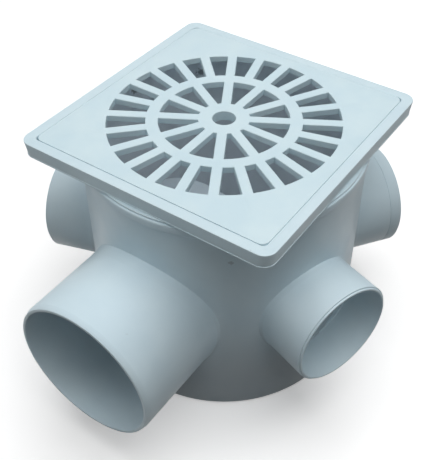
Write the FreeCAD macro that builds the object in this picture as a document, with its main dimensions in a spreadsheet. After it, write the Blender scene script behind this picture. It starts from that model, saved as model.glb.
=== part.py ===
import FreeCAD
import Part
import Sketcher
import math
import os
import re

# Patio floor drain: a round trap chamber with one outlet and a fan of inlets,
# a square frame that drops into it, a slotted grate and a hood over the outlet.
# The origin is the centre of the chamber's underside, +Z is up, millimetres.

doc = FreeCAD.newDocument("patio_floor_drain")
sheet = doc.addObject("Spreadsheet::Sheet", "Sizes")

# Driving sizes, each named once
SIZES = [
    # chamber
    ("chamber_radius", 101.8),
    ("chamber_wall", 3.0),
    ("chamber_height", 183.3),
    ("floor_thickness", 3.5),
    ("base_bevel", 2.2),
    ("floor_bevel", 4.0),
    ("bead_stand_out", 1.4),
    ("bead_height", 6.0),
    ("bead_slope", 1.5),
    ("bead_bevel", 0.8),
    # stubs
    ("port_axis_height", 90.5),
    ("outlet_drop", 4.0),
    ("port_spacing", 72.0),
    ("inlet_count", 4),
    ("outlet_radius", 55.0),
    ("outlet_wall", 3.2),
    ("outlet_reach", 166.0),
    ("outlet_root_bevel", 4.0),
    ("outlet_lead_depth", 1.2),
    ("outlet_lead_length", 4.0),
    ("outlet_push_in", 54.0),
    ("outlet_taper", 1.5),
    ("inlet_radius", 40.0),
    ("inlet_wall", 2.5),
    ("inlet_reach", 135.0),
    ("inlet_push_in", 31.0),
    ("inlet_stop", 2.0),
    ("inlet_root_bevel", 2.6),
    ("inlet_lip_bevel", 0.7),
    # frame
    ("frame_side", 200.0),
    ("frame_depth", 11.3),
    ("frame_draft", 1.1),
    ("frame_corner", 9.0),
    ("frame_edge_bevel", 0.6),
    ("frame_skirt_wall", 2.5),
    ("rim_width", 7.8),
    ("recess_corner", 3.5),
    ("ledge_thickness", 3.0),
    ("throat_radius", 88.0),
    ("flange_radius", 101.8),
    ("flange_thickness", 1.4),
    ("flange_bevel", 0.4),
    ("neck_length", 22.0),
    ("neck_wall", 3.0),
    ("neck_clearance", 0.4),
    # grate
    ("grate_thickness", 5.0),
    ("grate_clearance", 0.4),
    ("grate_corner", 5.5),
    ("finger_hole_radius", 8.2),
    ("hub_boss_radius", 12.0),
    ("hub_boss_drop", 2.5),
    ("bar_width", 7.0),
    ("inner_slots", 12),
    ("inner_slot_start", 18.3),
    ("inner_slot_end", 46.1),
    ("outer_slots", 24),
    ("outer_slot_start", 55.0),
    ("outer_slot_end", 82.2),
    # hood
    ("hood_radius", 64.0),
    ("hood_wall", 2.5),
    ("hood_face", 20.0),
    ("hood_floor_gap", 10.0),
    ("hood_bevel", 2.0),
    ("hood_clearance", 0.5),
    ("hood_spigot_clearance", 0.3),
    ("hood_spigot_wall", 2.5),
    ("hood_spigot_reach", 110.0),
]
for line, (alias, value) in enumerate(SIZES, start=1):
    sheet.set("A%d" % line, alias)
    sheet.set("B%d" % line, "%g" % value)
    sheet.setAlias("B%d" % line, alias)
NAMES = {alias for alias, _ in SIZES}
doc.recompute()


# Small helpers for sketches and features

def size(expression):
    """Present value of an expression in the sheet's names."""
    return float(sheet.evalExpression(expression))


def bound(expression):
    """The same expression as the document's objects write it."""
    return re.sub(r"[a-z_]+", lambda word: "<<Sizes>>." + word.group()
                  if word.group() in NAMES else word.group(), expression)


def origin_feature(body, role):
    return next(item for item in body.Origin.OriginFeatures if item.Role == role)


def new_body(label):
    body = doc.addObject("PartDesign::Body", label)
    body.Label = label
    return body


def new_sketch(body, name, plane="XY_Plane", height=None, turn=None, turn_axis="Z"):
    """Sketch on one of the body's planes, raised along its normal and turned."""
    sketch = body.newObject("Sketcher::SketchObject", name)
    sketch.AttachmentSupport = [(origin_feature(body, plane), "")]
    sketch.MapMode = "FlatFace"
    if turn is not None:
        axis = {"Y": FreeCAD.Vector(0, 1, 0), "Z": FreeCAD.Vector(0, 0, 1)}[turn_axis]
        sketch.AttachmentOffset = FreeCAD.Placement(
            FreeCAD.Vector(), FreeCAD.Rotation(axis, 1.0))
        sketch.setExpression("AttachmentOffset.Rotation.Angle", bound(turn))
    if height is not None:
        sketch.setExpression("AttachmentOffset.Base.z", bound(height))
    return sketch


def bind(sketch, index, name, expression):
    sketch.renameConstraint(index, name)
    sketch.setExpression("Constraints." + name, bound(expression))


def circle(sketch, name, radius, height=None):
    """Circle about the sketch's origin, or about a point up its vertical axis."""
    up = 0.0 if height is None else size(height)
    ring = sketch.addGeometry(
        Part.Circle(FreeCAD.Vector(0, up, 0), FreeCAD.Vector(0, 0, 1), size(radius)))
    if height is None:
        sketch.addConstraint(Sketcher.Constraint("Coincident", ring, 3, -1, 1))
    else:
        sketch.addConstraint(Sketcher.Constraint("PointOnObject", ring, 3, -2))
        place = sketch.addConstraint(Sketcher.Constraint("DistanceY", -1, 1, ring, 3, up))
        bind(sketch, place, name + "_height", height)
    spread = sketch.addConstraint(Sketcher.Constraint("Radius", ring, size(radius)))
    bind(sketch, spread, name + "_radius", radius)
    return ring


def outline(sketch, corners):
    """Closed run of straight lines through corners given as (name, across, up)."""
    points = [FreeCAD.Vector(size(x), size(y), 0) for _, x, y in corners]
    lines = []
    for start, end in zip(points, points[1:] + points[:1]):
        lines.append(sketch.addGeometry(Part.LineSegment(start, end)))
    for here, line in enumerate(lines):
        follow = lines[(here + 1) % len(lines)]
        sketch.addConstraint(Sketcher.Constraint("Coincident", line, 2, follow, 1))
    for line, (name, x, y) in zip(lines, corners):
        for kind, expression, axis in (("DistanceX", x, -2), ("DistanceY", y, -1)):
            if expression == "0":
                sketch.addConstraint(Sketcher.Constraint("PointOnObject", line, 1, axis))
                continue
            place = sketch.addConstraint(
                Sketcher.Constraint(kind, -1, 1, line, 1, size(expression)))
            bind(sketch, place, name + kind[-1], expression)


def rounded_square(sketch, name, side, corner):
    """Square with rounded corners about the sketch's origin."""
    half, turn = size(side) / 2, size(corner)
    near = half - turn
    quarter = math.pi / 2
    sides, arcs = [], []
    for step in range(4):
        spin = FreeCAD.Rotation(FreeCAD.Vector(0, 0, 1), 90.0 * step)
        start = spin.multVec(FreeCAD.Vector(-near, -half, 0))
        end = spin.multVec(FreeCAD.Vector(near, -half, 0))
        centre = spin.multVec(FreeCAD.Vector(near, -near, 0))
        sides.append(sketch.addGeometry(Part.LineSegment(start, end)))
        bend = Part.Circle(centre, FreeCAD.Vector(0, 0, 1), turn)
        begin = quarter * (step - 1)
        arcs.append(sketch.addGeometry(Part.ArcOfCircle(bend, begin, begin + quarter)))
    for step in range(4):
        follow = sides[(step + 1) % 4]
        sketch.addConstraint(Sketcher.Constraint("Tangent", sides[step], 2, arcs[step], 1))
        sketch.addConstraint(Sketcher.Constraint("Tangent", arcs[step], 2, follow, 1))
    for step in (0, 2):
        sketch.addConstraint(Sketcher.Constraint("Horizontal", sides[step]))
        sketch.addConstraint(Sketcher.Constraint("Vertical", sides[step + 1]))
    for step in range(1, 4):
        sketch.addConstraint(Sketcher.Constraint("Equal", arcs[0], arcs[step]))
    sketch.addConstraint(
        Sketcher.Constraint("Symmetric", sides[0], 1, sides[2], 1, -1, 1))
    radius = sketch.addConstraint(Sketcher.Constraint("Radius", arcs[0], turn))
    bind(sketch, radius, name + "_corner", corner)
    for kind, first, second in (("DistanceX", sides[3], sides[1]),
                                ("DistanceY", sides[0], sides[2])):
        span = sketch.addConstraint(
            Sketcher.Constraint(kind, first, 1, second, 1, 2 * half))
        bind(sketch, span, name + kind[-1], side)


def slot_outline(sketch, start, end, half_angle, bar):
    """Slot about the X axis between two arcs, with sides parallel to its bars."""
    spread, half_bar = math.radians(size(half_angle)), size(bar) / 2
    add = sketch.addConstraint

    def at(radius, angle):
        return FreeCAD.Vector(radius * math.cos(angle), radius * math.sin(angle), 0)

    arcs, lower, upper = [], [], []
    for radius in (size(start), size(end)):
        reach = spread - math.asin(half_bar / radius)
        ring = Part.Circle(FreeCAD.Vector(), FreeCAD.Vector(0, 0, 1), radius)
        arc = sketch.addGeometry(Part.ArcOfCircle(ring, -reach, reach))
        add(Sketcher.Constraint("Coincident", arc, 3, -1, 1))
        add(Sketcher.Constraint("Vertical", arc, 1, arc, 2))
        arcs.append(arc)
        lower.append(at(radius, -reach))
        upper.append(at(radius, reach))
    for corner, ends in ((1, lower), (2, upper)):
        side = sketch.addGeometry(Part.LineSegment(ends[0], ends[1]))
        add(Sketcher.Constraint("Coincident", arcs[0], corner, side, 1))
        add(Sketcher.Constraint("Coincident", arcs[1], corner, side, 2))
    middle = sketch.addGeometry(
        Part.LineSegment(FreeCAD.Vector(), at(size(end), spread)), True)
    add(Sketcher.Constraint("Coincident", middle, 1, -1, 1))
    add(Sketcher.Constraint("PointOnObject", middle, 2, arcs[1]))
    add(Sketcher.Constraint("Parallel", middle, side))
    bind(sketch, add(Sketcher.Constraint("Radius", arcs[0], size(start))), "start", start)
    bind(sketch, add(Sketcher.Constraint("Radius", arcs[1], size(end))), "end", end)
    angle = add(Sketcher.Constraint("Angle", -1, 1, middle, 1, spread))
    bind(sketch, angle, "spread", "(" + half_angle + ") * 1 deg")
    gap = add(Sketcher.Constraint("Distance", side, 1, middle, half_bar))
    bind(sketch, gap, "half_bar", bar + " / 2")


def pad(body, name, sketch, length, reverse=False):
    feature = body.newObject("PartDesign::Pad", name)
    feature.Profile = sketch
    feature.Reversed = reverse
    feature.setExpression("Length", bound(length))
    return feature


def pocket(body, name, sketch, length, reverse=False):
    feature = body.newObject("PartDesign::Pocket", name)
    feature.Profile = sketch
    feature.Reversed = reverse
    feature.setExpression("Length", bound(length))
    return feature


def tapered(body, name, start, end):
    """Solid with straight sides between two sketches of the same outline."""
    feature = body.newObject("PartDesign::AdditiveLoft", name)
    feature.Profile = start
    feature.Sections = [end]
    feature.Ruled = True
    body.Tip = feature
    return feature


def turned(body, kind, name, sketch):
    """Revolution or Groove of a sketch about its own vertical axis."""
    feature = body.newObject("PartDesign::" + kind, name)
    feature.Profile = sketch
    feature.ReferenceAxis = (sketch, ["V_Axis"])
    feature.Angle = 360.0
    return feature


def around(body, name, originals, count, angle):
    """Copies of features about the body's Z axis."""
    pattern = body.newObject("PartDesign::PolarPattern", name)
    pattern.Originals = originals
    pattern.Axis = (origin_feature(body, "Z_Axis"), [""])
    pattern.setExpression("Angle", bound(angle))
    pattern.setExpression("Occurrences", bound(count))
    body.Tip = pattern
    return pattern


def dressed(body, kind, name, edges, measure, value):
    """Fillet or Chamfer on the named edges of the body as it stands."""
    base = body.Tip
    feature = body.newObject("PartDesign::" + kind, name)
    feature.Base = (base, edges)
    feature.setExpression(measure, bound(value))
    doc.recompute()
    return feature


def edges_where(body, test):
    """Names of the edges of the body's tip that pass a test."""
    doc.recompute()
    found = []
    for number, edge in enumerate(body.Tip.Shape.Edges, start=1):
        if test(edge):
            found.append("Edge%d" % number)
    if not found:
        raise ValueError("no edge found in " + body.Label)
    return found


def points_of(edge, count=7):
    return edge.discretize(Number=count)


def is_ring(edge, radius, height, slack=0.05):
    """A full circle about the Z axis with this radius at this height."""
    if not isinstance(edge.Curve, Part.Circle):
        return False
    centre = edge.Curve.Center
    return (math.hypot(centre.x, centre.y) < slack
            and abs(centre.z - height) < slack
            and abs(edge.Curve.Radius - radius) < slack)


def port_distance(point, azimuth):
    """How far a point lies along a stub's axis, and how far off that axis."""
    turn = math.radians(azimuth)
    along = point.x * math.cos(turn) + point.y * math.sin(turn)
    across = -point.x * math.sin(turn) + point.y * math.cos(turn)
    axis = OUTLET_AXIS if azimuth == OUTLET_AZIMUTH else "port_axis_height"
    return along, math.hypot(across, point.z - size(axis))


# The outlet points along -Y and the inlets follow it at equal angles
OUTLET_AZIMUTH = -90.0
INLET_AZIMUTHS = [
    OUTLET_AZIMUTH + size("port_spacing") * (step + 1) for step in range(int(size("inlet_count")))
]
INLET_FAN = "port_spacing * (inlet_count - 1)"
OUTLET_AXIS = "(port_axis_height - outlet_drop)"
PUSH_END = "(outlet_reach - outlet_lead_length)"
CHAMBER_BORE = "(chamber_radius - chamber_wall)"
BEAD_RADIUS = "(chamber_radius + bead_stand_out)"
FRAME_TOP = "(flange_thickness + frame_depth)"


# Chamber: one moulding with its stubs

def make_chamber():
    body = new_body("drain_body")
    profile = new_sketch(body, "OuterProfile", "XZ_Plane")
    outline(profile, [
        ("foot", "0", "0"),
        ("base", "chamber_radius", "0"),
        ("shoulder", "chamber_radius", "chamber_height - bead_height - bead_slope"),
        ("bead_low", BEAD_RADIUS, "chamber_height - bead_height"),
        ("bead_high", BEAD_RADIUS, "chamber_height - bead_bevel"),
        ("bead_top", BEAD_RADIUS + " - bead_bevel", "chamber_height"),
        ("top", "0", "chamber_height"),
    ])
    turned(body, "Revolution", "OuterForm", profile)

    # the outlet narrows to the length that pushes into a pipe, and again at its end
    rings = []
    for name, radius, place in (
            ("OutletRootRing", "outlet_radius + outlet_taper", "0"),
            ("OutletPushStart", "outlet_radius", PUSH_END + " - outlet_push_in"),
            ("OutletPushEnd", "outlet_radius", PUSH_END),
            ("OutletEndRing", "outlet_radius - outlet_lead_depth", "outlet_reach")):
        ring = new_sketch(body, name, "XZ_Plane", height=place)
        circle(ring, "ring", radius, OUTLET_AXIS)
        rings.append(ring)
    tapered(body, "OutletRootTaper", rings[0], rings[1])
    pad(body, "OutletPush", rings[1], "outlet_push_in")
    tapered(body, "OutletLead", rings[2], rings[3])
    inlet = new_sketch(body, "InletCircle", "XZ_Plane", turn="port_spacing", turn_axis="Y")
    circle(inlet, "inlet", "inlet_radius", "port_axis_height")
    first = pad(body, "InletStub", inlet, "inlet_reach")
    around(body, "InletStubs", [first], "inlet_count", INLET_FAN)

    def is_root(edge, azimuth, narrow, wide):
        for point in points_of(edge):
            along, off = port_distance(point, azimuth)
            if along <= 0 or not size(narrow) - 0.05 < off < size(wide) + 0.05:
                return False
            if abs(math.hypot(point.x, point.y) - size("chamber_radius")) > 0.05:
                return False
        return True

    roots = edges_where(body, lambda edge: is_root(
        edge, OUTLET_AZIMUTH, "outlet_radius", "outlet_radius + outlet_taper"))
    dressed(body, "Chamfer", "OutletRoot", roots, "Size", "outlet_root_bevel")
    roots = edges_where(body, lambda edge: any(
        is_root(edge, azimuth, "inlet_radius", "inlet_radius") for azimuth in INLET_AZIMUTHS))
    dressed(body, "Chamfer", "InletRoots", roots, "Size", "inlet_root_bevel")

    base = edges_where(body, lambda edge: is_ring(edge, size("chamber_radius"), 0))
    dressed(body, "Chamfer", "BaseBevel", base, "Size", "base_bevel")

    # each inlet is a socket with a pipe stop, closed by the chamber's own wall
    socket = new_sketch(body, "InletSocketCircle", "XZ_Plane", turn="port_spacing",
                        turn_axis="Y")
    circle(socket, "socket", "inlet_radius - inlet_wall", "port_axis_height")
    first_socket = pocket(body, "InletSocket", socket, "inlet_reach", reverse=True)
    around(body, "InletSockets", [first_socket], "inlet_count", INLET_FAN)
    stop = new_sketch(body, "InletStopCircles", "XZ_Plane", turn="port_spacing",
                      turn_axis="Y")
    circle(stop, "outer", "inlet_radius - inlet_wall / 2", "port_axis_height")
    circle(stop, "inner", "inlet_radius - inlet_wall - inlet_stop", "port_axis_height")
    first_stop = pad(body, "InletStop", stop, "inlet_reach - inlet_push_in")
    around(body, "InletStops", [first_stop], "inlet_count", INLET_FAN)
    closed = new_sketch(body, "ClosedWallCircle", height="port_axis_height - inlet_radius")
    circle(closed, "closed", "chamber_radius")
    body.Tip = pad(body, "ClosedWall", closed, "2 * inlet_radius")

    inside = new_sketch(body, "InnerProfile", "XZ_Plane")
    outline(inside, [
        ("foot", "0", "floor_thickness"),
        ("floor", CHAMBER_BORE, "floor_thickness"),
        ("mouth", CHAMBER_BORE, "chamber_height"),
        ("top", "0", "chamber_height"),
    ])
    turned(body, "Groove", "Chamber", inside)
    floor = edges_where(body, lambda edge: is_ring(
        edge, size(CHAMBER_BORE), size("floor_thickness")))
    dressed(body, "Chamfer", "FloorBevel", floor, "Size", "floor_bevel")

    outlet_bore = new_sketch(body, "OutletBoreCircle", "XZ_Plane")
    circle(outlet_bore, "bore", "outlet_radius - outlet_wall", OUTLET_AXIS)
    body.Tip = pocket(body, "OutletBore", outlet_bore, "outlet_reach", reverse=True)

    def is_lip(edge, azimuth, reach, radius):
        for point in points_of(edge):
            along, off = port_distance(point, azimuth)
            if abs(along - size(reach)) > 0.05 or abs(off - size(radius)) > 0.05:
                return False
        return True

    lips = edges_where(body, lambda edge: any(
        is_lip(edge, azimuth, "inlet_reach", "inlet_radius") for azimuth in INLET_AZIMUTHS))
    dressed(body, "Chamfer", "InletLips", lips, "Size", "inlet_lip_bevel")
    return body


# Frame: square tray, round flange and the neck that drops into the chamber

def make_frame():
    body = new_body("grate_frame")
    body.setExpression("Placement.Base.z", bound("chamber_height"))
    foot = new_sketch(body, "PlateFoot", height="flange_thickness")
    rounded_square(foot, "foot", "frame_side - 2 * frame_draft", "frame_corner - frame_draft")
    top = new_sketch(body, "PlateTop", height=FRAME_TOP)
    rounded_square(top, "top", "frame_side", "frame_corner")
    tapered(body, "Plate", foot, top)
    flange = new_sketch(body, "FlangeCircle")
    circle(flange, "flange", "flange_radius")
    pad(body, "Flange", flange, "flange_thickness")
    neck = new_sketch(body, "NeckCircle")
    circle(neck, "neck", CHAMBER_BORE + " - neck_clearance")
    body.Tip = pad(body, "Neck", neck, "neck_length", reverse=True)

    recess = new_sketch(body, "RecessSquare", height=FRAME_TOP)
    rounded_square(recess, "recess", "frame_side - 2 * rim_width", "recess_corner")
    pocket(body, "Recess", recess, "grate_thickness")
    throat = new_sketch(body, "ThroatCircle", height=FRAME_TOP)
    circle(throat, "throat", "throat_radius")
    pocket(body, "Throat", throat, FRAME_TOP + " + neck_length")
    inside = new_sketch(body, "NeckBoreCircle", height="0 - neck_length")
    circle(inside, "bore", CHAMBER_BORE + " - neck_clearance - neck_wall")
    pocket(body, "NeckBore", inside,
           "neck_length + " + FRAME_TOP + " - grate_thickness - ledge_thickness", reverse=True)
    make_corner_hollows(body)

    level = size(FRAME_TOP)
    outside = size("frame_side") / 2 - 0.05
    diagonal = size("frame_side / 2 - rim_width")

    def is_top_outer(edge):
        points = points_of(edge, 3)
        middle = points[1]
        wide = max(abs(middle.x), abs(middle.y)) > outside
        at_corner = min(abs(middle.x), abs(middle.y)) > diagonal
        return all(abs(point.z - level) < 0.01 for point in points) and (wide or at_corner)

    rim = edges_where(body, is_top_outer)
    dressed(body, "Chamfer", "RimBevel", rim, "Size", "frame_edge_bevel")
    ring = edges_where(body, lambda edge: is_ring(edge, size("flange_radius"), 0))
    dressed(body, "Chamfer", "FlangeBevel", ring, "Size", "flange_bevel")
    return body


def make_corner_hollows(body):
    """Hollow under each corner of the plate, outside the round flange."""
    sketch = new_sketch(body, "CornerHollow", height="flange_thickness")
    wall = "(frame_side / 2 - frame_draft - frame_skirt_wall)"
    ring = "(flange_radius + frame_skirt_wall)"
    half, sweep, turn = size(wall), size(ring), size("frame_corner - frame_skirt_wall")
    reach = math.sqrt(sweep ** 2 - half ** 2)
    begin = math.atan2(reach, half)
    add = sketch.addConstraint
    near = sketch.addGeometry(Part.ArcOfCircle(
        Part.Circle(FreeCAD.Vector(), FreeCAD.Vector(0, 0, 1), sweep),
        begin, math.pi / 2 - begin))
    side = sketch.addGeometry(Part.LineSegment(
        FreeCAD.Vector(half, reach, 0), FreeCAD.Vector(half, half - turn, 0)))
    bend = sketch.addGeometry(Part.ArcOfCircle(
        Part.Circle(FreeCAD.Vector(half - turn, half - turn, 0), FreeCAD.Vector(0, 0, 1), turn),
        0, math.pi / 2))
    top = sketch.addGeometry(Part.LineSegment(
        FreeCAD.Vector(half - turn, half, 0), FreeCAD.Vector(reach, half, 0)))
    add(Sketcher.Constraint("Coincident", near, 3, -1, 1))
    add(Sketcher.Constraint("Coincident", near, 1, side, 1))
    add(Sketcher.Constraint("Tangent", side, 2, bend, 1))
    add(Sketcher.Constraint("Tangent", bend, 2, top, 1))
    add(Sketcher.Constraint("Coincident", top, 2, near, 2))
    add(Sketcher.Constraint("Vertical", side))
    add(Sketcher.Constraint("Horizontal", top))
    bind(sketch, add(Sketcher.Constraint("Radius", near, sweep)), "ring", ring)
    bind(sketch, add(Sketcher.Constraint("Radius", bend, turn)), "bend",
         "frame_corner - frame_skirt_wall")
    bind(sketch, add(Sketcher.Constraint("DistanceX", -1, 1, side, 1, half)), "side", wall)
    bind(sketch, add(Sketcher.Constraint("DistanceY", -1, 1, top, 1, half)), "top", wall)
    hollow = pocket(body, "Hollow", sketch,
                    "frame_depth - grate_thickness - ledge_thickness", reverse=True)
    around(body, "Hollows", [hollow], "4", "360")


# Grate: square plate with two rings of slots round a finger hole

def make_grate():
    body = new_body("grate")
    body.setExpression("Placement.Base.z",
                       bound("chamber_height + " + FRAME_TOP + " - grate_thickness"))
    plate = new_sketch(body, "GrateSquare")
    rounded_square(plate, "grate", "frame_side - 2 * rim_width - 2 * grate_clearance",
                   "grate_corner")
    pad(body, "GratePlate", plate, "grate_thickness")
    boss = new_sketch(body, "HubBossCircle")
    circle(boss, "boss", "hub_boss_radius")
    pad(body, "HubBoss", boss, "hub_boss_drop", reverse=True)
    hole = new_sketch(body, "FingerHoleCircle", height="0 - hub_boss_drop")
    circle(hole, "hole", "finger_hole_radius")
    pocket(body, "FingerHole", hole, "grate_thickness + hub_boss_drop", reverse=True)
    for name, start, end, count in (
            ("Inner", "inner_slot_start", "inner_slot_end", "inner_slots"),
            ("Outer", "outer_slot_start", "outer_slot_end", "outer_slots")):
        half_angle = "180 / " + count
        sketch = new_sketch(body, name + "Slot", turn=half_angle)
        slot_outline(sketch, start, end, half_angle, "bar_width")
        cut = pocket(body, name + "SlotCut", sketch, "grate_thickness", reverse=True)
        around(body, name + "Slots", [cut], count, "360")
    return body


# Hood: arch over the outlet's inner end, open below, plugged into its bore

def arch_outline(sketch, radius, foot):
    """Arch about the stub axis: half circle above, straight legs to the foot."""
    spread, up, low = size(radius), size(OUTLET_AXIS), size(foot)
    add = sketch.addConstraint
    crown = sketch.addGeometry(Part.ArcOfCircle(
        Part.Circle(FreeCAD.Vector(0, up, 0), FreeCAD.Vector(0, 0, 1), spread), 0, math.pi))
    left = sketch.addGeometry(Part.LineSegment(
        FreeCAD.Vector(-spread, up, 0), FreeCAD.Vector(-spread, low, 0)))
    base = sketch.addGeometry(Part.LineSegment(
        FreeCAD.Vector(-spread, low, 0), FreeCAD.Vector(spread, low, 0)))
    right = sketch.addGeometry(Part.LineSegment(
        FreeCAD.Vector(spread, low, 0), FreeCAD.Vector(spread, up, 0)))
    add(Sketcher.Constraint("PointOnObject", crown, 3, -2))
    add(Sketcher.Constraint("Tangent", crown, 2, left, 1))
    add(Sketcher.Constraint("Coincident", left, 2, base, 1))
    add(Sketcher.Constraint("Coincident", base, 2, right, 1))
    add(Sketcher.Constraint("Tangent", right, 2, crown, 1))
    add(Sketcher.Constraint("Horizontal", base))
    add(Sketcher.Constraint("Vertical", left))
    bind(sketch, add(Sketcher.Constraint("Radius", crown, spread)), "spread", radius)
    bind(sketch, add(Sketcher.Constraint("DistanceY", -1, 1, crown, 3, up)), "crown",
         OUTLET_AXIS)
    bind(sketch, add(Sketcher.Constraint("DistanceY", -1, 1, base, 1, low)), "foot", foot)


def make_hood():
    body = new_body("trap_hood")
    foot = "floor_thickness + hood_floor_gap"
    back = "sqrt((" + CHAMBER_BORE + " - hood_clearance)^2 - hood_radius^2)"
    shell = new_sketch(body, "HoodArch", "XZ_Plane", height="hood_face")
    arch_outline(shell, "hood_radius", foot)
    pad(body, "HoodBlock", shell, back + " - hood_face")
    front = size("0 - hood_face")
    crown = size(OUTLET_AXIS + " + hood_radius")

    def is_face_edge(edge):
        points = points_of(edge)
        on_face = all(abs(point.y - front) < 0.01 for point in points)
        above_foot = all(point.z > size(foot) + 0.01 for point in points[1:-1])
        return on_face and above_foot and max(point.z for point in points) <= crown + 0.01

    rim = edges_where(body, is_face_edge)
    dressed(body, "Chamfer", "HoodBevel", rim, "Size", "hood_bevel")
    spigot = new_sketch(body, "SpigotCircle", "XZ_Plane", height=back + " - hood_wall")
    circle(spigot, "spigot", "outlet_radius - outlet_wall - hood_spigot_clearance",
           OUTLET_AXIS)
    pad(body, "Spigot", spigot, "hood_spigot_reach - " + back + " + hood_wall")
    hollow = new_sketch(body, "HollowArch", "XZ_Plane", height="hood_face + hood_wall")
    arch_outline(hollow, "hood_radius - hood_wall", foot)
    pocket(body, "HoodHollow", hollow, back + " - hood_face - 2 * hood_wall", reverse=True)
    bore = new_sketch(body, "SpigotBoreCircle", "XZ_Plane", height=back + " - hood_wall")
    circle(bore, "bore",
           "outlet_radius - outlet_wall - hood_spigot_clearance - hood_spigot_wall",
           OUTLET_AXIS)
    pocket(body, "SpigotBore", bore, "hood_spigot_reach - " + back + " + hood_wall",
           reverse=True)
    return body


bodies = [make_chamber(), make_frame(), make_grate(), make_hood()]
doc.recompute()

# Every object has to be sound before anything is written
for item in doc.Objects:
    if "Invalid" in item.State or "Error" in item.State:
        raise RuntimeError("failed: " + item.Name)
for body in bodies:
    shape = body.Shape
    if shape.isNull() or not shape.isValid() or len(shape.Solids) != 1:
        raise RuntimeError("unsound shape: " + body.Label)
    box = shape.BoundBox
    print("%s volume %.0f box %.1f %.1f %.1f to %.1f %.1f %.1f" % (
        body.Label, shape.Volume, box.XMin, box.YMin, box.ZMin, box.XMax, box.YMax, box.ZMax))

os.makedirs("parts", exist_ok=True)
for body in bodies:
    body.Shape.exportStep("parts/" + body.Label + ".step")
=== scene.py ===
import math

import bpy
from mathutils import Euler, Matrix, Vector


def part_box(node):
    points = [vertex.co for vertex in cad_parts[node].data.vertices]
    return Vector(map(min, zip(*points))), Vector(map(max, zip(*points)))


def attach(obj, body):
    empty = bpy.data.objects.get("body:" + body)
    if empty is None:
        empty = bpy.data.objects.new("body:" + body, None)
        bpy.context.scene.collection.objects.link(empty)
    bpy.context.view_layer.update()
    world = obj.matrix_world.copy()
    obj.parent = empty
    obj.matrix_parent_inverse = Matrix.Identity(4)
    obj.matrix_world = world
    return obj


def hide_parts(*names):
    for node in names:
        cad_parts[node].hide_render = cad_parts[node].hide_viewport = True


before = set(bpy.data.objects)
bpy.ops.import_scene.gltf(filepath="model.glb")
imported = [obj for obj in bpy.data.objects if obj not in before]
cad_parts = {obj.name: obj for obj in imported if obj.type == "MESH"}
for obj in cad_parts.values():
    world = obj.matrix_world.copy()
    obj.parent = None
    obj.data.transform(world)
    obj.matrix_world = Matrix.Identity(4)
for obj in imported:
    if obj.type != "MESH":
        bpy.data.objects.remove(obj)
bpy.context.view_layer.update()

# Places and sizes read from the fixed frame, in metres
body_low, body_high = [Vector(corner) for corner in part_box("drain_body")]
top_height = Vector(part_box("grate")[1]).z
chamber_height = body_high.z
outlet_reach = -body_low.y

# Chamber
CHAMBER_RADIUS = 0.1018
CHAMBER_BORE = 0.0988
CHAMBER_FLOOR = 0.0035
FLOOR_COVE = 0.004
FOOT_CHAMFER = 0.0022
BEAD_RADIUS = 0.1032
BEAD_CHAMFER = 0.0008
BEAD_BELOW_RIM = 0.006
BEAD_SLOPE = 0.0015
CHAMBER_SOFTENING = 0.0007

# Stubs: the outlet takes 110 mm pipe and the inlets 75 mm pipe
OUTLET_AZIMUTH = math.radians(-90)
PORT_SPACING = math.radians(72)
OUTLET_HEIGHT = 0.0865
OUTLET_RADIUS = 0.055
OUTLET_BORE = 0.0518
OUTLET_TIP = 0.0012
OUTLET_TIP_LENGTH = 0.004
OUTLET_INNER_END = 0.075
WALL_OPENING = OUTLET_BORE + 0.0012
OPENING_CUT_LENGTH = 0.1
OPENING_CUT_MIDDLE = 0.1
INLET_HEIGHT = 0.0905
INLET_RADIUS = 0.040
INLET_BORE = 0.0375
INLET_STOP = 0.0355
INLET_REACH = 0.135
INLET_PUSH = 0.031
INLET_INNER_END = 0.085
STUB_SOFTENING = 0.0002
TRIM_HEIGHT = 0.3

# How far a root's flare runs along its stub, and how far it widens on the wall
OUTLET_FLARE = (0.012, 0.0010)
INLET_FLARE = (0.006, 0.0008)
FLARE_STEPS = 128
FLARE_ROWS = 7
FLARE_CURVE = 1.3
FLARE_SINK = 0.0002

# The stepped lip at each inlet's mouth, and the fine line round the one at the right back
LIP_RADIUS = 0.0389
LIP_STEP = 0.0013
LIP_CHAMFER = 0.0003
LINE_FROM_MOUTH = 0.0100
LINE_HALF_WIDTH = 0.0003
LINE_DEPTH = 0.0004
LINED_INLET = 2

# Frame
FRAME_SIDE = 0.200
FRAME_CORNER = 0.009
FRAME_FOOT_SHARE = 0.989
FRAME_DEPTH = 0.0113
FRAME_SOFTENING = 0.0005
FOOT_LIP_SIDE = 0.1986
FOOT_LIP_INSIDE = 0.1955
FOOT_LIP_INSIDE_CORNER = 0.0070
FOOT_LIP_HEIGHT = 0.0009
FOOT_LIP_SOFTENING = 0.0002
RIM_WIDTH = 0.0078
RECESS_CORNER = 0.0035
HOLLOW_SIDE = 0.1928
HOLLOW_CORNER = 0.0065
HOLLOW_FROM_FLANGE = 0.0025
THROAT_RADIUS = 0.088
NECK_RADIUS = 0.0984
NECK_BORE = 0.0954
NECK_LENGTH = 0.022
NECK_CHAMFER = 0.0005
NECK_TOP_RADIUS = 0.097
NECK_TOP_ABOVE_FOOT = 0.0012
FLANGE_RADIUS = 0.1018
FLANGE_LOWER_CHAMFER = 0.0004
FLANGE_UPPER_CHAMFER = 0.0003
LEDGE_THICKNESS = 0.003

# Grate
GRATE_THICKNESS = 0.005
GRATE_SIDE = 0.1840
GRATE_SET_BACK = 0.0002
GRATE_CORNER = 0.0055
BAR_WIDTH = 0.007
BAR_LENGTH = 0.22
FINGER_HOLE = 0.0082
HUB_BOSS = 0.012
HUB_DROP = 0.0025
HUB_CHAMFER = 0.0004

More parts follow.
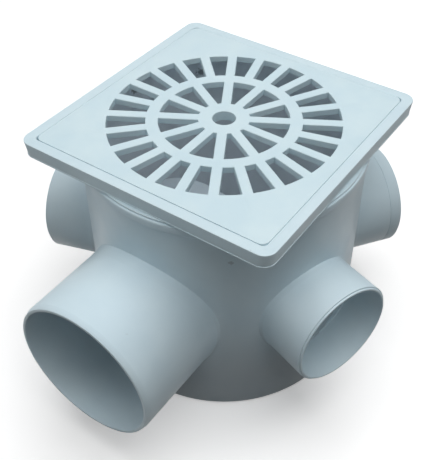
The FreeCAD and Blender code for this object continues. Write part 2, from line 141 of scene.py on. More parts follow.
# Each ring of slots: its inner and outer radius, the number of slots and the facets round it
INNER_SLOTS = (0.0183, 0.0461, 12, 144)
OUTER_SLOTS = (0.0550, 0.0822, 24, 240)

# Facets round turned forms and corners, and the shared softening of edges
ROUND_SIDES = 160
STUB_SIDES = 112
HUB_SIDES = 96
CORNER_STEPS = 10
EDGE_SOFTENING = 0.00035
SMOOTH_ANGLE = 32

# How far a cutter runs past what it cuts, and a hair that keeps two faces out of one plane
CUT_OVERRUN = 0.001
LONG_OVERRUN = 0.01
HAIR = 1e-5
BORE_CLEARANCE = 1e-4

# Camera: where the photograph was taken from, aimed at the frame's top plane
VIEW_AZIMUTH = math.radians(35.12)
VIEW_ELEVATION = math.radians(43.32)
VIEW_ROLL = math.radians(-0.35)
VIEW_DISTANCE = 0.4556
VIEW_TARGET = Vector((0.0622, -0.0954, top_height))
VIEW_LENS = 60.5
VIEW_SENSOR = 36

camera_data = bpy.data.cameras.new("view")
camera_data.lens = VIEW_LENS
camera_data.sensor_width = VIEW_SENSOR
camera = bpy.data.objects.new("view", camera_data)
bpy.context.scene.collection.objects.link(camera)
away = Vector((math.sin(VIEW_AZIMUTH) * math.cos(VIEW_ELEVATION),
               -math.cos(VIEW_AZIMUTH) * math.cos(VIEW_ELEVATION),
               math.sin(VIEW_ELEVATION)))
turn = Euler((math.pi / 2 - VIEW_ELEVATION, 0, VIEW_AZIMUTH)).to_matrix().to_4x4()
camera.matrix_world = (Matrix.Translation(VIEW_TARGET + away * VIEW_DISTANCE)
                       @ turn @ Matrix.Rotation(VIEW_ROLL, 4, "Z"))
bpy.context.scene.camera = camera


# Lights: a broad softbox overhead and weaker ones at the sides

def softbox(name, place, aim, side, power):
    """A square light of this side and power, aimed from its place at another."""
    data = bpy.data.lights.new(name, "AREA")
    data.shape = "SQUARE"
    data.size = side
    data.energy = power
    lamp = bpy.data.objects.new(name, data)
    bpy.context.scene.collection.objects.link(lamp)
    lamp.location = place
    lamp.rotation_euler = (Vector(aim) - Vector(place)).to_track_quat("-Z", "Y").to_euler()


BODY_MIDDLE = (0, 0, 0.1)
softbox("overhead_softbox", (0.1, 0.3, 2.2), (0, 0, 0), 2.2, 42.5)
softbox("left_front_softbox", (-1.5, -1.2, 1.2), BODY_MIDDLE, 1.2, 7.2)
softbox("right_softbox", (1.4, -0.4, 1.7), BODY_MIDDLE, 1.2, 6)
softbox("front_softbox", (0.3, -2.0, 1.2), BODY_MIDDLE, 1.2, 3.6)


# Small helpers for shader nodes

def node_with(tree, kind, operation=None, data_type=None, **values):
    """A new shader node with its operation or data type and its sockets' fixed values."""
    node = tree.nodes.new("ShaderNode" + kind)
    if data_type:
        node.data_type = data_type
    if operation:
        node.operation = operation
    for label, value in values.items():
        node.inputs[label.replace("_", " ")].default_value = value
    return node


def spread(tree, source, low, high, to_low=0.0, to_high=1.0):
    """Stretches the values between low and high over a new range."""
    node = node_with(tree, "MapRange", From_Min=low, From_Max=high, To_Min=to_low,
                     To_Max=to_high)
    tree.links.new(source, node.inputs["Value"])
    return node


def maths(tree, operation, *terms):
    node = node_with(tree, "Math", operation)
    for socket, value in zip(node.inputs, terms):
        if isinstance(value, (int, float)):
            socket.default_value = value
        else:
            tree.links.new(value, socket)
    return node.outputs[0]


def blend_colours(tree, factor, first, second):
    node = node_with(tree, "Mix", data_type="RGBA")
    tree.links.new(factor, node.inputs["Factor"])
    for socket, value in (("A", first), ("B", second)):
        if isinstance(value, tuple):
            node.inputs[socket].default_value = value
        else:
            tree.links.new(value, node.inputs[socket])
    return node.outputs["Result"]


def seen_or_mirrored(tree):
    """1 for what the camera sees, directly or in a reflection, and 0 for other light."""
    path = node_with(tree, "LightPath")
    mirrored = maths(tree, "MAXIMUM", path.outputs["Is Glossy Ray"],
                     path.outputs["Is Transmission Ray"])
    return maths(tree, "MAXIMUM", path.outputs["Is Camera Ray"], mirrored)


# Room: a white backdrop to the eye that gives the object only a little light

ROOM_TINT = (0.97, 0.98, 1, 1)
ROOM_LIGHT = 0.024

world = bpy.data.worlds.new("room")
bpy.context.scene.world = world
world.use_nodes = True
room = world.node_tree
backdrop = room.nodes["Background"]
backdrop.inputs["Color"].default_value = ROOM_TINT
brightness = spread(room, seen_or_mirrored(room), 0.0, 1.0, ROOM_LIGHT, 1.0)
room.links.new(brightness.outputs["Result"], backdrop.inputs["Strength"])


# Small helpers for shaping

def pick_only(piece):
    bpy.ops.object.select_all(action="DESELECT")
    piece.select_set(True)
    bpy.context.view_layer.objects.active = piece


def ring_form(name, stations, sides, closed=False):
    """A turned form about Z: a ring drawn out through (radius, height) stations."""
    bpy.ops.object.select_all(action="DESELECT")
    radius, height = stations[0]
    bpy.ops.mesh.primitive_circle_add(vertices=sides, radius=radius, location=(0, 0, height))
    piece = bpy.context.object
    piece.name = name
    bpy.ops.object.transform_apply(location=True, rotation=True, scale=True)
    bpy.ops.object.mode_set(mode="EDIT")
    bpy.ops.mesh.select_all(action="SELECT")
    if not closed:
        bpy.ops.mesh.edge_face_add()
    for wide, high in stations[1:]:
        bpy.ops.mesh.extrude_region_move(
            TRANSFORM_OT_translate={"value": (0, 0, high - height)})
        bpy.ops.transform.resize(value=(wide / radius, wide / radius, 1))
        radius, height = wide, high
    if closed:
        bpy.ops.mesh.select_all(action="SELECT")
        bpy.ops.mesh.region_to_loop()
        bpy.ops.mesh.bridge_edge_loops()
    bpy.ops.mesh.select_all(action="SELECT")
    bpy.ops.mesh.normals_make_consistent(inside=False)
    bpy.ops.object.mode_set(mode="OBJECT")
    return piece


def square_slab(name, side, corner, low, high):
    """A square slab about Z with round upright corners."""
    bpy.ops.object.select_all(action="DESELECT")
    bpy.ops.mesh.primitive_cube_add(size=1, location=(0, 0, (low + high) / 2),
                                    scale=(side, side, high - low))
    piece = bpy.context.object
    piece.name = name
    bpy.ops.object.transform_apply(location=True, rotation=True, scale=True)
    select_edges(piece, lambda a, b: abs(a.z - b.z) > (high - low) / 2)
    bpy.ops.mesh.bevel(offset=corner, segments=CORNER_STEPS, affect="EDGES")
    bpy.ops.object.mode_set(mode="OBJECT")
    return piece


def select_edges(piece, test):
    """Leaves the piece in edit mode with only the edges picked whose ends pass."""
    pick_only(piece)
    bpy.ops.object.mode_set(mode="EDIT")
    bpy.ops.mesh.select_mode(type="EDGE")
    bpy.ops.mesh.select_all(action="DESELECT")
    bpy.ops.object.mode_set(mode="OBJECT")
    for edge in piece.data.edges:
        edge.select = test(*[piece.data.vertices[index].co for index in edge.vertices])
    bpy.ops.object.mode_set(mode="EDIT")


def aim_at_port(piece, azimuth, height):
    """Lays a form turned about Z along the stub axis that points at this azimuth."""
    pick_only(piece)
    piece.rotation_euler = (0, math.pi / 2, azimuth)
    piece.location = (0, 0, height)
    bpy.ops.object.transform_apply(location=True, rotation=True, scale=True)


def round_edges(piece, width, steps, angle, clamp=True):
    pick_only(piece)
    bevel = piece.modifiers.new("rounding", "BEVEL")
    bevel.width = width
    bevel.segments = steps
    bevel.use_clamp_overlap = clamp
    bevel.limit_method = "ANGLE"
    bevel.angle_limit = math.radians(angle)
    bpy.ops.object.modifier_apply(modifier=bevel.name)


def combine(piece, tool, operation):
    """Joins the tool to the piece, or cuts it out, and clears the tool away."""
    pick_only(piece)
    cut = piece.modifiers.new("combine", "BOOLEAN")
    cut.operation = operation
    cut.solver = "EXACT"
    cut.object = tool
    bpy.ops.object.modifier_apply(modifier=cut.name)
    bpy.data.objects.remove(tool)


def smooth(piece, angle):
    pick_only(piece)
    bpy.ops.object.shade_smooth_by_angle(angle=math.radians(angle))


# Drain body: the chamber, its stubs and the shallow flares at their roots

def make_chamber():
    bead_foot = chamber_height - BEAD_BELOW_RIM
    chamber = ring_form("drain_body_moulding", [
        (CHAMBER_RADIUS - FOOT_CHAMFER, 0), (CHAMBER_RADIUS, FOOT_CHAMFER),
        (CHAMBER_RADIUS, bead_foot - BEAD_SLOPE),
        (BEAD_RADIUS, bead_foot), (BEAD_RADIUS, chamber_height - BEAD_CHAMFER),
        (BEAD_RADIUS - BEAD_CHAMFER, chamber_height), (CHAMBER_BORE, chamber_height),
        (CHAMBER_BORE, CHAMBER_FLOOR + FLOOR_COVE),
        (CHAMBER_BORE - FLOOR_COVE, CHAMBER_FLOOR)], ROUND_SIDES)
    select_edges(chamber, lambda a, b: all(
        end.xy.length < CHAMBER_BORE - 0.75 * FLOOR_COVE and abs(end.z - CHAMBER_FLOOR) < HAIR
        for end in (a, b)))
    bpy.ops.mesh.edge_face_add()
    bpy.ops.mesh.select_all(action="SELECT")
    bpy.ops.mesh.normals_make_consistent(inside=False)
    bpy.ops.object.mode_set(mode="OBJECT")
    round_edges(chamber, CHAMBER_SOFTENING, steps=2, angle=20)
    return chamber


def make_stub(name, azimuth, height, stations):
    """A tube along one port, trimmed to end inside the chamber's wall."""
    stub = ring_form(name, stations, STUB_SIDES, closed=True)
    round_edges(stub, STUB_SOFTENING, steps=2, angle=15)
    aim_at_port(stub, azimuth, height)
    bpy.ops.object.select_all(action="DESELECT")
    bpy.ops.mesh.primitive_cylinder_add(
        vertices=ROUND_SIDES, radius=(CHAMBER_RADIUS + CHAMBER_BORE) / 2, depth=TRIM_HEIGHT,
        location=(0, 0, height))
    combine(stub, bpy.context.object, "DIFFERENCE")
    return stub


def root_flare(name, azimuth, height, stub_radius, reach, widening):
    """The flare at a stub's root: long and shallow on the stub, with a crease on the wall."""
    def spot(angle, radius, lead):
        across = radius * math.cos(angle)
        along = math.sqrt(CHAMBER_RADIUS ** 2 - across ** 2) + lead
        return Vector((along * math.cos(azimuth) - across * math.sin(azimuth),
                       along * math.sin(azimuth) + across * math.cos(azimuth),
                       height + radius * math.sin(angle)))

    points, faces = [], []
    for step in range(FLARE_STEPS):
        angle = 2 * math.pi * step / FLARE_STEPS
        for row in range(FLARE_ROWS):
            share = row / (FLARE_ROWS - 1)
            outward = (widening + FLARE_SINK) * share ** FLARE_CURVE - FLARE_SINK
            points.append(spot(angle, stub_radius + outward,
                               reach * (1 - share) - FLARE_SINK * share))
        points.append(spot(angle, stub_radius - 4 * FLARE_SINK, -4 * FLARE_SINK))
    width = FLARE_ROWS + 1
    for step in range(FLARE_STEPS):
        follow = (step + 1) % FLARE_STEPS
        for row in range(width):
            beside = (row + 1) % width
            faces.append((step * width + row, follow * width + row,
                          follow * width + beside, step * width + beside))
    mesh = bpy.data.meshes.new(name)
    mesh.from_pydata(points, [], faces)
    piece = bpy.data.objects.new(name, mesh)
    bpy.context.scene.collection.objects.link(piece)
    pick_only(piece)
    bpy.ops.object.mode_set(mode="EDIT")
    bpy.ops.mesh.select_all(action="SELECT")
    bpy.ops.mesh.normals_make_consistent(inside=False)
    bpy.ops.object.mode_set(mode="OBJECT")
    return piece


def inlet_stations(lined):
    """The section of an inlet, from its root out to the mouth and back along the bore."""
    line = INLET_REACH - LINE_FROM_MOUTH
    fine_line = [(INLET_RADIUS, line - LINE_HALF_WIDTH), (INLET_RADIUS - LINE_DEPTH, line),
                 (INLET_RADIUS, line + LINE_HALF_WIDTH)] if lined else []
    return [(INLET_RADIUS, INLET_INNER_END), *fine_line,
            (INLET_RADIUS, INLET_REACH - LIP_STEP), (LIP_RADIUS, INLET_REACH - LIP_STEP),
            (LIP_RADIUS, INLET_REACH - LIP_CHAMFER), (LIP_RADIUS - LIP_CHAMFER, INLET_REACH),
            (INLET_BORE, INLET_REACH), (INLET_BORE, INLET_REACH - INLET_PUSH),
            (INLET_STOP, INLET_REACH - INLET_PUSH), (INLET_STOP, INLET_INNER_END)]


drain_body = make_chamber()
bpy.ops.object.select_all(action="DESELECT")
bpy.ops.mesh.primitive_cylinder_add(vertices=STUB_SIDES, radius=WALL_OPENING,
                                    depth=OPENING_CUT_LENGTH,
                                    location=(0, 0, OPENING_CUT_MIDDLE))
outlet_cut = bpy.context.object
bpy.ops.object.transform_apply(location=True, rotation=True, scale=True)
aim_at_port(outlet_cut, OUTLET_AZIMUTH, OUTLET_HEIGHT)
combine(drain_body, outlet_cut, "DIFFERENCE")
outlet = make_stub("outlet", OUTLET_AZIMUTH, OUTLET_HEIGHT, [
    (OUTLET_RADIUS, OUTLET_INNER_END), (OUTLET_RADIUS, outlet_reach - OUTLET_TIP_LENGTH),
    (OUTLET_RADIUS - OUTLET_TIP, outlet_reach), (OUTLET_BORE, outlet_reach),
    (OUTLET_BORE, OUTLET_INNER_END)])
combine(drain_body, outlet, "UNION")
flares = [root_flare("outlet_flare", OUTLET_AZIMUTH, OUTLET_HEIGHT, OUTLET_RADIUS,
                     *OUTLET_FLARE)]
for number in range(1, 5):
    azimuth = OUTLET_AZIMUTH + PORT_SPACING * number
    inlet = make_stub("inlet_%d" % number, azimuth, INLET_HEIGHT,
                      inlet_stations(number == LINED_INLET))
    combine(drain_body, inlet, "UNION")
    flares.append(root_flare("inlet_flare_%d" % number, azimuth, INLET_HEIGHT, INLET_RADIUS,
                             *INLET_FLARE))
pick_only(drain_body)
for piece in flares:
    piece.select_set(True)
bpy.ops.object.join()
smooth(drain_body, SMOOTH_ANGLE)
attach(drain_body, "root")
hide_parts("drain_body")


# Grate frame: a shallow square tray on a round flange, with a neck below it

def make_frame():
    foot = top_height - FRAME_DEPTH
    seat = top_height - GRATE_THICKNESS
    ledge = seat - LEDGE_THICKNESS
    tray = square_slab("grate_frame_moulding", FRAME_SIDE, FRAME_CORNER, foot - 2 * HAIR,
                       top_height)
    select_edges(tray, lambda a, b: max(a.z, b.z) < foot + 10 * HAIR)
    bpy.ops.transform.resize(value=(FRAME_FOOT_SHARE, FRAME_FOOT_SHARE, 1))
    bpy.ops.object.mode_set(mode="OBJECT")
    recess = square_slab("recess", FRAME_SIDE - 2 * RIM_WIDTH, RECESS_CORNER, seat,
                         top_height + LONG_OVERRUN)
    combine(tray, recess, "DIFFERENCE")
    throat = ring_form("throat", [(THROAT_RADIUS, foot - 2 * LONG_OVERRUN),
                                  (THROAT_RADIUS, top_height + 2 * LONG_OVERRUN)], ROUND_SIDES)
    combine(tray, throat, "DIFFERENCE")
    bore = ring_form("bore", [(NECK_BORE + BORE_CLEARANCE, foot - 2 * LONG_OVERRUN),
                              (NECK_BORE + BORE_CLEARANCE, ledge)], ROUND_SIDES)
    combine(tray, bore, "DIFFERENCE")
    hollow = square_slab("hollow", HOLLOW_SIDE, HOLLOW_CORNER, foot - LONG_OVERRUN, ledge)
    kept_middle = FLANGE_RADIUS + HOLLOW_FROM_FLANGE
    combine(hollow, ring_form("middle", [(kept_middle, foot - 2 * LONG_OVERRUN),
                                         (kept_middle, ledge + LONG_OVERRUN)], ROUND_SIDES),
            "DIFFERENCE")
    combine(tray, hollow, "DIFFERENCE")
    round_edges(tray, FRAME_SOFTENING, steps=3, angle=30, clamp=False)
    lip = square_slab("foot_lip", FOOT_LIP_SIDE, FRAME_CORNER, foot - HAIR,
                      foot + FOOT_LIP_HEIGHT)
    combine(lip, square_slab("inside_the_lip", FOOT_LIP_INSIDE, FOOT_LIP_INSIDE_CORNER,
                             foot - CUT_OVERRUN, foot + 2 * CUT_OVERRUN), "DIFFERENCE")
    round_edges(lip, FOOT_LIP_SOFTENING, steps=2, angle=30)
    combine(tray, lip, "UNION")
    neck_foot = chamber_height - NECK_LENGTH
    neck_top = foot + NECK_TOP_ABOVE_FOOT
    neck = ring_form("neck", [
        (NECK_RADIUS - NECK_CHAMFER, neck_foot), (NECK_RADIUS, neck_foot + NECK_CHAMFER),
        (NECK_RADIUS, chamber_height), (FLANGE_RADIUS - FLANGE_LOWER_CHAMFER, chamber_height),
        (FLANGE_RADIUS, chamber_height + FLANGE_LOWER_CHAMFER),
        (FLANGE_RADIUS, foot - FLANGE_UPPER_CHAMFER),
        (FLANGE_RADIUS - FLANGE_UPPER_CHAMFER, foot), (NECK_TOP_RADIUS, foot),
        (NECK_TOP_RADIUS, neck_top), (NECK_BORE, neck_top), (NECK_BORE, neck_foot)],
        ROUND_SIDES, closed=True)
    combine(tray, neck, "UNION")
    smooth(tray, SMOOTH_ANGLE)
    return tray


# Grate: a square plate with two rings of slots round a finger hole

def flared(size, flare):
    """Stations of a cut right through the plate that leaves its edges softened."""
    under = top_height - GRATE_THICKNESS
    reach = size + flare * (EDGE_SOFTENING + CUT_OVERRUN)
    return [(reach, under - CUT_OVERRUN), (size, under + EDGE_SOFTENING),
            (size, top_height - EDGE_SOFTENING), (reach, top_height + CUT_OVERRUN)]


def bar_form(angle):
    """One bar through the middle, as the solid that the slots leave standing."""
    half, height = flared(BAR_WIDTH / 2, -1)[0]
    bpy.ops.object.select_all(action="DESELECT")
    bpy.ops.mesh.primitive_plane_add(size=1, location=(0, 0, height))
    bar = bpy.context.object
    bar.scale = (BAR_LENGTH, 2 * half, 1)
    bpy.ops.object.transform_apply(location=True, rotation=True, scale=True)
    bpy.ops.object.mode_set(mode="EDIT")
    bpy.ops.mesh.select_all(action="SELECT")
    for wide, high in flared(BAR_WIDTH / 2, -1)[1:]:
        bpy.ops.mesh.extrude_region_move(
            TRANSFORM_OT_translate={"value": (0, 0, high - height)})
        bpy.ops.transform.resize(value=(1, wide / half, 1))
        half, height = wide, high
    bpy.ops.mesh.select_all(action="SELECT")
    bpy.ops.mesh.normals_make_consistent(inside=False)
    bpy.ops.object.mode_set(mode="OBJECT")
    bar.rotation_euler = (0, 0, angle)
    bpy.ops.object.transform_apply(location=True, rotation=True, scale=True)
    return bar


def slot_ring(name, start, end, count, sides):
    """All slots of one ring as one cutter: a flat ring with the bars taken out of it."""
    outer, inner = flared(end, 1), flared(start, -1)
    ring = ring_form(name, outer + inner[::-1], sides, closed=True)
    for step in range(count // 2):
        combine(ring, bar_form(2 * math.pi * step / count), "DIFFERENCE")
    return ring


def make_grate():
    under = top_height - GRATE_THICKNESS
    plate = square_slab("grate_plate", GRATE_SIDE, GRATE_CORNER, under, top_height)
    plate.location.y = GRATE_SET_BACK
    pick_only(plate)
    bpy.ops.object.transform_apply(location=True, rotation=False, scale=False)
    round_edges(plate, EDGE_SOFTENING, steps=2, angle=30)
    combine(plate, slot_ring("inner_slots", *INNER_SLOTS), "DIFFERENCE")
    combine(plate, slot_ring("outer_slots", *OUTER_SLOTS), "DIFFERENCE")
    boss_foot = under - HUB_DROP
    boss = ring_form("boss", [(HUB_BOSS - HUB_CHAMFER, boss_foot),
                              (HUB_BOSS, boss_foot + HUB_CHAMFER),
                              (HUB_BOSS, under + 2 * CUT_OVERRUN)], HUB_SIDES)
    combine(plate, boss, "UNION")
    finger = [(FINGER_HOLE, under - LONG_OVERRUN)] + flared(FINGER_HOLE, 1)[2:]
    combine(plate, ring_form("finger", finger, HUB_SIDES), "DIFFERENCE")
    smooth(plate, SMOOTH_ANGLE)
    return plate


for piece, node, finish in ((make_frame(), "grate_frame", "frame_plastic"),
                            (make_grate(), "grate", "grate_plastic")):
    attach(piece, "root")
    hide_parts(node)


# Floor: white to the eye and to reflections, darker to the light that it throws back.
# It keeps the drain's shadow, and well away from the drain it turns into the white backdrop.

FLOOR_SIDE = 8
FLOOR_BOUNCE = (0.10, 0.10, 0.10, 1)
FLOOR_ROUGHNESS = 0.9
FLOOR_GLOW = 0.3
SHADOW_REACH = 0.55
BACKDROP_REACH = 1.6
WHITE, BLACK = (1, 1, 1, 1), (0, 0, 0, 1)

bpy.ops.object.select_all(action="DESELECT")
bpy.ops.mesh.primitive_plane_add(size=FLOOR_SIDE, location=(0, 0, 0))
floor = bpy.context.object
floor.name = "floor"
floor_paint = bpy.data.materials.new("floor_paint")
floor_paint.use_nodes = True
paper = floor_paint.node_tree
shader = paper.nodes["Principled BSDF"]
shader.inputs["Roughness"].default_value = FLOOR_ROUGHNESS
shader.inputs["Specular IOR Level"].default_value = 0.0
seen = seen_or_mirrored(paper)
place = node_with(paper, "TexCoord")
distance = node_with(paper, "VectorMath", "LENGTH")
paper.links.new(place.outputs["Object"], distance.inputs[0])
far = spread(paper, distance.outputs["Value"], SHADOW_REACH, BACKDROP_REACH).outputs["Result"]
glow = spread(paper, far, 0.0, 1.0, FLOOR_GLOW, 1.0)
near_tone = blend_colours(paper, seen, FLOOR_BOUNCE, WHITE)
paper.links.new(glow.outputs["Result"], shader.inputs["Emission Strength"])
paper.links.new(blend_colours(paper, far, near_tone, BLACK), shader.inputs["Base Color"])
paper.links.new(blend_colours(paper, seen, BLACK, WHITE), shader.inputs["Emission Color"])
floor.data.materials.append(floor_paint)

bpy.context.scene.view_settings.view_transform = "Standard"


# Plastic finishes: effects that the four mouldings share, each with its own amounts

def new_group(name, inputs, outputs):
    tree = bpy.data.node_groups.new(name, "ShaderNodeTree")
    for label, kind, value in inputs:
        socket = tree.interface.new_socket(name=label, in_out="INPUT",
                                           socket_type="NodeSocket" + kind)
        socket.default_value = value
    for label, kind in outputs:
        tree.interface.new_socket(name=label, in_out="OUTPUT", socket_type="NodeSocket" + kind)
    return tree, tree.nodes.new("NodeGroupInput"), tree.nodes.new("NodeGroupOutput")


def noise(tree, detail, roughness, scale=None):
    """Noise over the piece's own coordinates. Without a scale, one is linked in later."""
    place = node_with(tree, "TexCoord")
    node = node_with(tree, "TexNoise", Detail=detail, Roughness=roughness)
    if scale is not None:
        node.inputs["Scale"].default_value = scale
    tree.links.new(place.outputs["Object"], node.inputs["Vector"])
    return node


def noise_mask(tree, detail, roughness, scale, low, high, to_low=0.0, to_high=1.0):
    """Noise at one scale, stretched between two of its values."""
    pattern = noise(tree, detail, roughness, scale)
    return spread(tree, pattern.outputs["Fac"], low, high, to_low, to_high).outputs["Result"]


def clouding_group():
    """Soft cloudy patches between two tints, as in a cheap pale moulding."""
    tree, given, result = new_group("clouding", [
        ("Pale", "Color", (1, 1, 1, 1)), ("Deep", "Color", (0.5, 0.5, 0.5, 1)),
        ("Patches", "Float", 30.0)], [("Colour", "Color")])
    cloud = noise(tree, detail=3.0, roughness=0.55)
    tree.links.new(given.outputs["Patches"], cloud.inputs["Scale"])
    patchy = spread(tree, cloud.outputs["Fac"], 0.35, 0.65)
    tree.links.new(blend_colours(tree, patchy.outputs["Result"], given.outputs["Pale"],
                                 given.outputs["Deep"]), result.inputs["Colour"])
    return tree


def skin_group():
    """The faint ripple and grain of a moulded skin, with a roughness that varies with it."""
    tree, given, result = new_group("moulded_skin", [
        ("Grain", "Float", 900.0), ("Ripple", "Float", 140.0),
        ("Smoothest", "Float", 0.3), ("Roughest", "Float", 0.45)],
        [("Height", "Float"), ("Roughness", "Float")])
    grain = noise(tree, detail=2.0, roughness=0.5)
    ripple = noise(tree, detail=1.0, roughness=0.5)
    wear = noise(tree, detail=4.0, roughness=0.6, scale=45.0)
    tree.links.new(given.outputs["Grain"], grain.inputs["Scale"])
    tree.links.new(given.outputs["Ripple"], ripple.inputs["Scale"])
    fine = maths(tree, "MULTIPLY", grain.outputs["Fac"], 0.25)
    tree.links.new(maths(tree, "ADD", fine, ripple.outputs["Fac"]), result.inputs["Height"])
    worn = spread(tree, wear.outputs["Fac"], 0.35, 0.65)
    tree.links.new(given.outputs["Smoothest"], worn.inputs["To Min"])
    tree.links.new(given.outputs["Roughest"], worn.inputs["To Max"])
    tree.links.new(worn.outputs["Result"], result.inputs["Roughness"])
    return tree


def edge_rub_group():
    """Where the piece's edges are rubbed: the bevelled normal leaves the true one."""
    tree, given, result = new_group("edge_rub", [("Amount", "Float", 0.3)], [("Mask", "Float")])
    soft = node_with(tree, "Bevel", Radius=RUBBED_REACH)
    soft.samples = RUBBED_SAMPLES
    true = node_with(tree, "NewGeometry")
    dot = node_with(tree, "VectorMath", "DOT_PRODUCT")
    tree.links.new(soft.outputs["Normal"], dot.inputs[0])
    tree.links.new(true.outputs["Normal"], dot.inputs[1])
    edge = spread(tree, dot.outputs["Value"], 1.0, 0.8)
    patchy = noise_mask(tree, detail=3.0, roughness=0.6, scale=160.0, low=0.35, high=0.6)
    rubbed = maths(tree, "MULTIPLY", edge.outputs["Result"], patchy)
    tree.links.new(maths(tree, "MULTIPLY", rubbed, given.outputs["Amount"]),
                   result.inputs["Mask"])
    return tree


def grime_group():
    """Sparse specks and faint smears of dirt."""
    tree, given, result = new_group("grime", [("Amount", "Float", 0.3)], [("Mask", "Float")])
    specks = noise_mask(tree, detail=5.0, roughness=0.7, scale=190.0, low=0.66, high=0.72)
    places = noise_mask(tree, detail=2.0, roughness=0.5, scale=24.0, low=0.52, high=0.68)
    dotted = maths(tree, "MULTIPLY", specks, places)
    tree.links.new(maths(tree, "MULTIPLY", dotted, given.outputs["Amount"]),
                   result.inputs["Mask"])
    return tree


def well_group():
    """Two masks: inside the chamber's bore for painted light, and low down on the chamber's
    outer wall for painted shade.
    """
    tree, given, result = new_group("well", [
        ("Bore", "Float", 0.1), ("Wall", "Float", 0.1), ("Below", "Float", 1.0)],
        [("Inside", "Float"), ("Low", "Float")])
    place = node_with(tree, "TexCoord")
    apart = node_with(tree, "SeparateXYZ")
    tree.links.new(place.outputs["Object"], apart.inputs[0])
    east, north, up = apart.outputs
    reach = maths(tree, "SQRT", maths(tree, "ADD", maths(tree, "MULTIPLY", east, east),
                                      maths(tree, "MULTIPLY", north, north)))
    within = maths(tree, "LESS_THAN", reach, given.outputs["Bore"])
    under = maths(tree, "LESS_THAN", up, given.outputs["Below"])
    inside = maths(tree, "MULTIPLY", within, under)
    tree.links.new(inside, result.inputs["Inside"])
    # Painted shade: the outer wall's colour darkens towards the bottom between these heights.
    low = spread(tree, up, SHADE_FROM, SHADE_FULL)
    low.interpolation_type = "SMOOTHSTEP"
    on_wall = maths(tree, "LESS_THAN", reach, given.outputs["Wall"])
    outer = maths(tree, "SUBTRACT", on_wall, within)
    tree.links.new(maths(tree, "MULTIPLY", low.outputs["Result"], outer), result.inputs["Low"])
    return tree


def mark_group():
    """One small ragged mark round a place on the piece."""
    tree, given, result = new_group("mark", [
        ("Place", "Vector", (0, 0, 0)), ("Reach", "Float", 0.002)], [("Mask", "Float")])
    place = node_with(tree, "TexCoord")
    apart = node_with(tree, "VectorMath", "DISTANCE")
    tree.links.new(place.outputs["Object"], apart.inputs[0])
    tree.links.new(given.outputs["Place"], apart.inputs[1])
    ragged = noise_mask(tree, detail=3.0, roughness=0.6, scale=700.0, low=0.35, high=0.65,
                        to_low=0.6, to_high=1.6)
    share = maths(tree, "DIVIDE", apart.outputs["Value"], given.outputs["Reach"])
    edge = maths(tree, "MULTIPLY", share, ragged)
    tree.links.new(spread(tree, edge, 1.0, 0.5).outputs["Result"], result.inputs["Mask"])
    return tree


# Colours and amounts that the mouldings share: a lighter colour painted inside the bores as
# painted light, and the heights between which painted shade darkens the chamber's outer wall
# towards the bottom
PAINTED_LIGHT_INSIDE = (0.845, 0.905, 0.955, 1)
# Painted shade, darker towards the bottom of the chamber's outer wall
LOW_SHADE = (0.30, 0.31, 0.33, 1)
LOW_SHADE_STRENGTH = 0.42
GRIME = (0.10, 0.105, 0.10, 1)
WALL_ZONE = 0.1045
SHADE_FROM, SHADE_FULL = 0.115, 0.030
MOULDING_SHINE = 0.2
BUMP_DEPTH = 0.0002
RUBBED_REACH = 0.0009
RUBBED_SAMPLES = 4

clouding, skin = clouding_group(), skin_group()
edge_rub, grime, well, stain = edge_rub_group(), grime_group(), well_group(), mark_group()


def placed(tree, group, **values):
    """One use of a shared effect, with this material's own amounts."""
    node = node_with(tree, "Group")
    node.node_tree = group
    for label, value in values.items():
        node.inputs[label].default_value = value
    return node


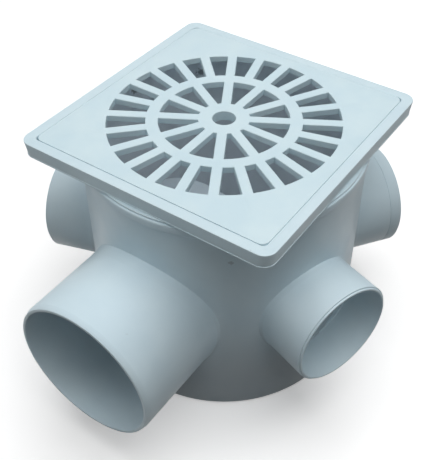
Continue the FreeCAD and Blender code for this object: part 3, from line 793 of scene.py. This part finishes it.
def plastic(name, pale, deep, rubbed, patches, smoothest, roughest, relief, rub, dirt,
            bore=0, below=1.0, marks=()):
    """One moulding's plastic, from the shared effects at its own strengths."""
    paint = bpy.data.materials.new(name)
    paint.use_nodes = True
    tree = paint.node_tree
    shader = tree.nodes["Principled BSDF"]
    shader.inputs["Specular IOR Level"].default_value = MOULDING_SHINE
    cloud = placed(tree, clouding, Pale=(*pale, 1), Deep=(*deep, 1), Patches=patches)
    surface = placed(tree, skin, Smoothest=smoothest, Roughest=roughest)
    edges = placed(tree, edge_rub, Amount=rub)
    specks = placed(tree, grime, Amount=dirt)
    colour = blend_colours(tree, edges.outputs["Mask"], cloud.outputs["Colour"], (*rubbed, 1))
    colour = blend_colours(tree, specks.outputs["Mask"], colour, GRIME)
    # Painted light: a lighter colour inside the bore. Painted shade: a darker colour low on the
    # chamber's outer wall.
    if bore:
        zones = placed(tree, well, Bore=bore, Wall=WALL_ZONE, Below=below)
        colour = blend_colours(tree, zones.outputs["Inside"], colour, PAINTED_LIGHT_INSIDE)
        shaded = maths(tree, "MULTIPLY", zones.outputs["Low"], LOW_SHADE_STRENGTH)
        colour = blend_colours(tree, shaded, colour, LOW_SHADE)
    for spot, reach, strength in marks:
        patch = placed(tree, stain, Place=spot, Reach=reach)
        faint = maths(tree, "MULTIPLY", patch.outputs["Mask"], strength)
        colour = blend_colours(tree, faint, colour, GRIME)
    bump = node_with(tree, "Bump", Strength=relief, Distance=BUMP_DEPTH)
    tree.links.new(colour, shader.inputs["Base Color"])
    tree.links.new(surface.outputs["Roughness"], shader.inputs["Roughness"])
    tree.links.new(surface.outputs["Height"], bump.inputs["Height"])
    tree.links.new(bump.outputs["Normal"], shader.inputs["Normal"])
    return paint


# Each moulding's material. A mark is a place, how far it reaches and how dark it is. Bore and
# below bound the inside, where a lighter colour is painted in as painted light.
FINISHES = {
    "drain_body_moulding": plastic(
        "body_plastic", (0.655, 0.790, 0.850), (0.605, 0.745, 0.815), (0.74, 0.85, 0.89),
        patches=22.0, smoothest=0.34, roughest=0.46, relief=0.10, rub=0.35, dirt=0.10,
        bore=0.0992, marks=[((0.0614, -0.0812, 0.1556), 0.0020, 0.35)]),
    "grate_frame_moulding": plastic(
        "frame_plastic", (0.660, 0.800, 0.855), (0.615, 0.760, 0.825), (0.80, 0.88, 0.91),
        patches=30.0, smoothest=0.33, roughest=0.45, relief=0.12, rub=0.6, dirt=0.35,
        bore=0.0962, below=0.190,
        marks=[((-0.0684, 0.0665, 0.1748), 0.0040, 0.7),
               ((-0.0942, 0.0147, 0.1761), 0.0040, 0.7)]),
    "grate_plate": plastic(
        "grate_plastic", (0.660, 0.805, 0.855), (0.615, 0.770, 0.835), (0.80, 0.88, 0.91),
        patches=34.0, smoothest=0.38, roughest=0.5, relief=0.15, rub=0.5, dirt=0.15),
    "trap_hood": plastic(
        "hood_plastic", (0.680, 0.775, 0.840), (0.640, 0.740, 0.805), (0.74, 0.85, 0.89),
        patches=26.0, smoothest=0.35, roughest=0.45, relief=0.10, rub=0.3, dirt=0.3),
}
for name, finish in FINISHES.items():
    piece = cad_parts["trap_hood"] if name == "trap_hood" else bpy.data.objects[name]
    piece.data.materials.clear()
    piece.data.materials.append(finish)
